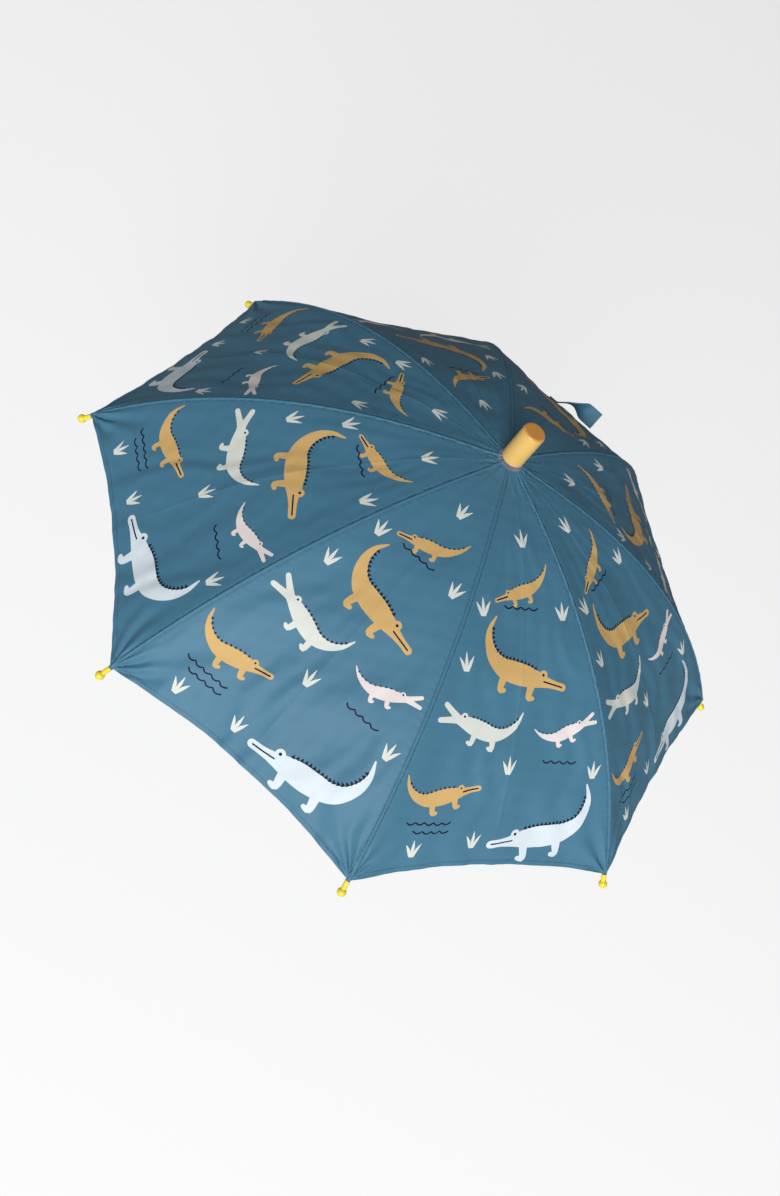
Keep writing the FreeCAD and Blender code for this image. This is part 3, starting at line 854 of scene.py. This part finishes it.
# %% [markdown]
# ## Rosettes at the crown
# A small round of cloth with a pinked edge lies on the canopy under the ferrule, and another inside, against the
# notch. Each starts as a circle whose edge is extruded outwards. Then every point is laid on the cloth below it, and
# every other point of the last ring is drawn in for the teeth.

# %% Rosettes
def thread_finish(name, colour):
    made, tree, shader = finish(name, colour, 0.8, sheen=0.3, specular=0.3)
    place = node(tree, "ShaderNodeTexCoord").outputs["Object"]
    fuzz = noise(tree, place, 1500.0, 3.0)
    shade = tinted(tree, fuzz, scaled(colour, 0.7), scaled(colour, 1.15))
    tree.links.new(shade, shader.inputs["Base Color"])
    bump(tree, shader, fuzz, 0.0001, 0.5)
    return made


rosette_finish = thread_finish("rosette_cloth", (0.17, 0.20, 0.29))
blue_thread = thread_finish("blue_thread", (0.020, 0.075, 0.15))
hook_finish = thread_finish("hook_tape", (0.030, 0.065, 0.12))


def height_of_cloth(radius, turn):
    """Height of the canopy's outer face at a radius and an azimuth, in mm."""
    panel = math.floor(math.degrees(turn) / 45) % 8
    away = turn - math.radians(45 * (math.floor(math.degrees(turn) / 45) + 0.5))
    v = np.interp(radius * math.cos(away), bow_radius, bow_way)
    place = cloth_at(np.array([radius * math.sin(away)]), np.array([v]), panel)
    return float(place[0, 2])


def thicken(made, thick, offset=-1):
    """A wall from a surface, in mm; its outer face stays with an offset of -1."""
    wall = made.modifiers.new("thickness", "SOLIDIFY")
    wall.thickness = thick * MM
    wall.offset = offset
    bpy.ops.object.modifier_apply(modifier=wall.name)


def open_mesh():
    """Edit mode, with the whole mesh selected."""
    bpy.ops.object.mode_set(mode="EDIT")
    bpy.ops.mesh.select_all(action="SELECT")


def open_circle(name, count, radius):
    """A ring of edges in edit mode, ready to be extruded."""
    bpy.ops.object.select_all(action="DESELECT")
    bpy.ops.mesh.primitive_circle_add(vertices=count, radius=radius, fill_type="NOTHING", location=(0, 0, 0))
    made = bpy.context.object
    made.name = name
    open_mesh()
    return made


def turn_outwards():
    """Recalculates the normals of the active mesh."""
    open_mesh()
    bpy.ops.mesh.normals_make_consistent(inside=False)
    bpy.ops.object.mode_set(mode="OBJECT")


def away_from_stitches(made):
    """The cloth's finish draws its stitches by these attributes; a piece far from both has none."""
    for label in ("seam", "hem"):
        made.data.attributes.new(label, "FLOAT", "POINT").data.foreach_set("value", [20.0] * len(made.data.vertices))


def rosette(name, radii, teeth, tooth, gap, thick):
    made = open_circle(name, 4 * teeth, radii[0] * MM)
    for before, after in zip(radii, radii[1:]):
        bpy.ops.mesh.extrude_edges_move(TRANSFORM_OT_translate={"value": (0, 0, 0)})
        bpy.ops.transform.resize(value=(after / before, after / before, 1), center_override=(0, 0, 0))
    bpy.ops.object.mode_set(mode="OBJECT")
    for point in made.data.vertices:
        radius = math.hypot(point.co.x, point.co.y) / MM
        turn = math.atan2(point.co.y, point.co.x) % (2 * math.pi)
        if radius > radii[-1] - 0.01:
            notch = abs((turn * teeth / (2 * math.pi)) % 1 - 0.5) * 2
            radius -= tooth * notch
        ripple = 0.18 * math.sin(11 * turn + 1) * fade(radius, radii[0], radii[-1])
        height = height_of_cloth(radius, turn) + gap + ripple
        point.co = Vector((radius * math.cos(turn), radius * math.sin(turn), height)) * MM
    turn_outwards()
    if made.data.polygons[0].normal.z < 0:
        made.data.flip_normals()
    thicken(made, thick)
    bpy.ops.object.shade_smooth_by_angle(angle=math.radians(40))
    made.data.materials.append(rosette_finish)
    return made


crown = rosette("crown_rosette_cloth", [4.3, 6.5, 9, 11.0, 12.2, 13.2], 30, 1.3, 0.75, 0.35)
inner = rosette("inner_rosette_cloth", [4.3, 6.5, 9, 11.5, 13.2], 26, 1.0, -1.75, 0.3)
for piece, node_name in ((crown, "crown_rosette"), (inner, "inner_rosette")):
    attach(piece, "shaft")
    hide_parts(node_name)
print("rosette faces", len(crown.data.polygons), len(inner.data.polygons))

# %% [markdown]
# ## Thread and cloth at the ribs' ends
# The cloth's corner is gathered to a point and tucked into each tip, and two loops of thread tie the seam to the rib
# further in. Each is modelled once on the rib that points along X, and copied round.

# %% Corner gathers and ties
END = Vector((348.05, 0, 289.836))
ALONG = Vector((0.62567, 0, -0.78011))


def copied_round(made, name):
    """Eight copies of a piece, turned about the shaft, each with its own mesh and on its own rib."""
    for k in range(1, 9):
        copy = made.copy()
        copy.data = made.data.copy()
        copy.name = f"{name}_{k}"
        bpy.context.collection.objects.link(copy)
        copy.data.transform(Matrix.Rotation(math.radians(45 * k), 4, "Z"))
        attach(copy, f"rib_{k}")
    bpy.data.objects.remove(made)


corner = open_circle("corner", 28, 1.0)
for _ in range(7):
    bpy.ops.mesh.extrude_edges_move(TRANSFORM_OT_translate={"value": (0, 0, 1)})
bpy.ops.mesh.select_all(action="SELECT")
bpy.ops.mesh.normals_make_consistent(inside=False)
bpy.ops.object.mode_set(mode="OBJECT")
side_way = Vector((0, 1, 0))
up_way = side_way.cross(ALONG) * -1
for point in corner.data.vertices:
    station = round(point.co.z)
    turn = math.atan2(point.co.y, point.co.x)
    way = -8 + 9.4 * station / 7
    radius = [2.3, 2.55, 2.65, 2.6, 2.45, 2.25, 2.05, 1.7][station]
    radius *= 1 + 0.05 * math.sin(7 * turn + station * 0.5)
    at = END + ALONG * way + side_way * (radius * 1.05 * math.cos(turn)) + up_way * (radius * math.sin(turn))
    point.co = at * MM
bpy.ops.object.shade_smooth()
corner.data.materials.append(cloth_outside[0])
corner_uv = corner.data.uv_layers[0] if corner.data.uv_layers else corner.data.uv_layers.new(name="flat")
corner_uv.name = "flat"
away_from_stitches(corner)
thicken(corner, 0.4)
copied_round(corner, "cloth_corner")


def bow_at(radius):
    return float(np.interp(radius, steps, bow_height))


def rib_line(radius, depth=2.5):
    """A place under the cloth on a rib's middle line, and the rib's direction there."""
    height = bow_at(radius)
    slope = (bow_at(radius + 1) - bow_at(radius - 1)) / 2
    size = math.hypot(1, slope)
    return Vector((radius + depth * slope / size, 0, APEX_Z + height - depth / size)), Vector((1, 0, slope)) / size


for number, radius in enumerate((118, 205, 262, 318)):
    place, way = rib_line(radius)
    bpy.ops.object.select_all(action="DESELECT")
    rings = []
    for shift in (-0.55, 0.0, 0.55):
        bpy.ops.mesh.primitive_torus_add(
            major_radius=2.15 * MM, minor_radius=0.27 * MM, major_segments=20, minor_segments=6,
            location=(place + way * shift) * MM, rotation=way.to_track_quat("Z", "Y").to_euler(),
        )
        rings.append(bpy.context.object)
    for ring in rings:
        ring.select_set(True)
    bpy.ops.object.join()
    bpy.ops.object.transform_apply(location=True, rotation=True, scale=True)
    bpy.ops.object.shade_smooth()
    tie = bpy.context.object
    tie.data.materials.append(blue_thread)
    copied_round(tie, f"rib_tie_{number + 1}")
print("ties and corners made")

# %% [markdown]
# ## Closing strap
# The strap is a doubled strip of the same cloth. One end is sewn to a panel, it rises in a loop, and its free end
# stands on its edge, with a square of hook tape. It is lofted along a smooth line of stations, each with a place and
# a twist, which gives the loop that a flat strip can't.

# %% Strap
STRAP_PANEL = 7
STRAP_R = 0.73 * CANOPY_R
STRAP_HALF = 10.0
strap_turn = math.radians(45 * (STRAP_PANEL + 0.5))
radial = Vector((math.cos(strap_turn), math.sin(strap_turn), 0))
strap_across = Vector((-math.sin(strap_turn), math.cos(strap_turn), 0))
strap_slope = float(np.interp(STRAP_R * math.cos(HALF), bow_radius, bow_slope))
strap_normal = (Vector((0, 0, 1)) - radial * strap_slope).normalized()
strap_uphill = strap_normal.cross(strap_across)
strap_at = radial * (STRAP_R * math.cos(HALF)) + Vector((0, 0, APEX_Z + bow_at(STRAP_R)))
strap_v = float(np.interp(STRAP_R, steps, bow_way))
sewn = cloth_at(np.array([12.0]), np.array([strap_v]), STRAP_PANEL)[0]
sewn_low = (Vector(sewn) - strap_at).dot(strap_normal)
print("the cloth under the strap's sewn end lies", round(sewn_low, 2), "mm below the plain gore")


def on_strap(x, y, z):
    return (strap_at + strap_across * x + strap_uphill * y + strap_normal * z) * MM


def strap_strip(name, stations, half, thick, across=8):
    """A strip along (x, height, twist in degrees), as a grid with a wall, in the strap's place."""
    line = smooth(stations, 1.4)
    places, strip_faces = [], []
    for i, (x, z, twist) in enumerate(line):
        c, s = math.cos(math.radians(twist)), math.sin(math.radians(twist))
        for j in range(across + 1):
            u = half * (2 * j / across - 1)
            cup = 0.35 * (u / half)**2 * math.sin(i * 0.35)
            places.append(on_strap(x, u * c + cup * s, z + u * s - cup * c))
    row = across + 1
    for i in range(len(line) - 1):
        for j in range(across):
            a = i * row + j
            strip_faces.append((a, a + 1, a + row + 1, a + row))
    mesh = bpy.data.meshes.new(name)
    mesh.from_pydata(places, [], strip_faces)
    made = linked(name, mesh)
    bpy.ops.object.select_all(action="DESELECT")
    made.select_set(True)
    bpy.context.view_layer.objects.active = made
    if mesh.polygons[0].normal.dot(strap_normal) < 0:
        mesh.flip_normals()
    uv = mesh.uv_layers.new(name="flat")
    for loop in mesh.loops:
        i, j = divmod(loop.vertex_index, row)
        uv.data[loop.index].uv = (0.0014 * i, 2 * half * j / across * MM)
    thicken(made, thick, offset=0)
    edge = made.modifiers.new("edge", "BEVEL")
    edge.width = 0.3 * MM
    edge.segments = 2
    edge.angle_limit = math.radians(50)
    bpy.ops.object.modifier_apply(modifier=edge.name)
    bpy.ops.object.shade_smooth_by_angle(angle=math.radians(40))
    return made, line


SEWN = sewn_low + 0.65
TAB_HIGH = 10.8
STATIONS = [
    (17, SEWN, 0), (12, SEWN, 0), (7, SEWN + 0.5, 0), (2, SEWN + 4.0, 0), (-4, 6.8, 3), (-10, 9.6, 12), (-16, 10.6, 36),
    (-20.5, TAB_HIGH, 64), (-25, TAB_HIGH, 84), (-31, TAB_HIGH, 90), (-38.6, TAB_HIGH, 90),
]
strap, strap_line = strap_strip("closing_strap_cloth", STATIONS, STRAP_HALF, 1.1)
strap.data.materials.append(cloth_outside[0])
away_from_stitches(strap)
strap_length = float(np.linalg.norm(np.diff(strap_line[:, :2], axis=0), axis=1).sum())
print("strap length", round(strap_length, 1))


STITCH_WIDE = 0.32
STITCH_LONG = 1.7


def stitch_row(places, ups):
    """Short raised threads at the places, each lying along the line, as one mesh."""
    points, stitch_faces = [], []
    for (place, ahead), up in zip(places, ups):
        side = ahead.cross(up).normalized()
        first = len(points)
        for t, size in ((-0.5, 0.35), (-0.25, 1.0), (0.25, 1.0), (0.5, 0.35)):
            for a, b in ((1, 0), (0.3, 0.9), (-0.3, 0.9), (-1, 0)):
                points.append((place + ahead * (t * STITCH_LONG) + (side * a + up * b) * (STITCH_WIDE * size)) * MM)
            points.append((place + ahead * (t * STITCH_LONG) - up * 0.2) * MM)
        for i in range(3):
            for j in range(5):
                a, b = first + 5 * i + j, first + 5 * i + (j + 1) % 5
                stitch_faces.append((a, b, b + 5, a + 5))
        stitch_faces.append(tuple(first + j for j in range(4, -1, -1)))
        stitch_faces.append(tuple(first + 15 + j for j in range(5)))
    return points, stitch_faces


# %% Hook tape and stitches on the strap
places, ups = [], []
for edge in (-1, 1):
    for i in range(2, len(strap_line) - 2, 2):
        x, z, twist = strap_line[i]
        c, s = math.cos(math.radians(twist)), math.sin(math.radians(twist))
        u = edge * (STRAP_HALF - 1.8)
        later, earlier = strap_line[i + 1], strap_line[i - 1]
        ahead = on_strap(later[0], 0, later[1]) - on_strap(earlier[0], 0, earlier[1])
        up = strap_normal * c - strap_uphill * s
        places.append((on_strap(x, u * c, z + u * s) / MM + up * 0.55, ahead.normalized()))
        ups.append(up)
points, stitch_faces = stitch_row(places, ups)
mesh = bpy.data.meshes.new("strap_stitches")
mesh.from_pydata(points, [], stitch_faces)
stitches = linked("strap_stitches", mesh)
mesh.materials.append(blue_thread)
mesh.shade_smooth()

bpy.ops.object.select_all(action="DESELECT")
bpy.ops.mesh.primitive_grid_add(x_subdivisions=13, y_subdivisions=13, size=12 * MM, location=(0, 0, 0))
pad = bpy.context.object
pad.name = "strap_hook_pad"
open_mesh()
bpy.ops.mesh.inset(thickness=0.25 * MM, use_individual=True)
bpy.ops.mesh.extrude_region_move(TRANSFORM_OT_translate={"value": (0, 0, 0)})
bpy.ops.object.mode_set(mode="OBJECT")
for face in pad.data.polygons:
    if face.select:
        for i in face.vertices:
            pad.data.vertices[i].co.z = 0.55 * MM
thicken(pad, 0.5)
for point in pad.data.vertices:
    x, y, z = point.co / MM
    point.co = on_strap(-31.0 + x, -1.15 - z, TAB_HIGH + y)
bpy.ops.object.shade_flat()
turn_outwards()
pad.data.materials.append(hook_finish)
for piece in (strap, stitches, pad):
    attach(piece, "rib_7")
    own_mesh(piece)
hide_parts("closing_strap")
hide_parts("strap_hook_tape")
print("stitches", len(places))
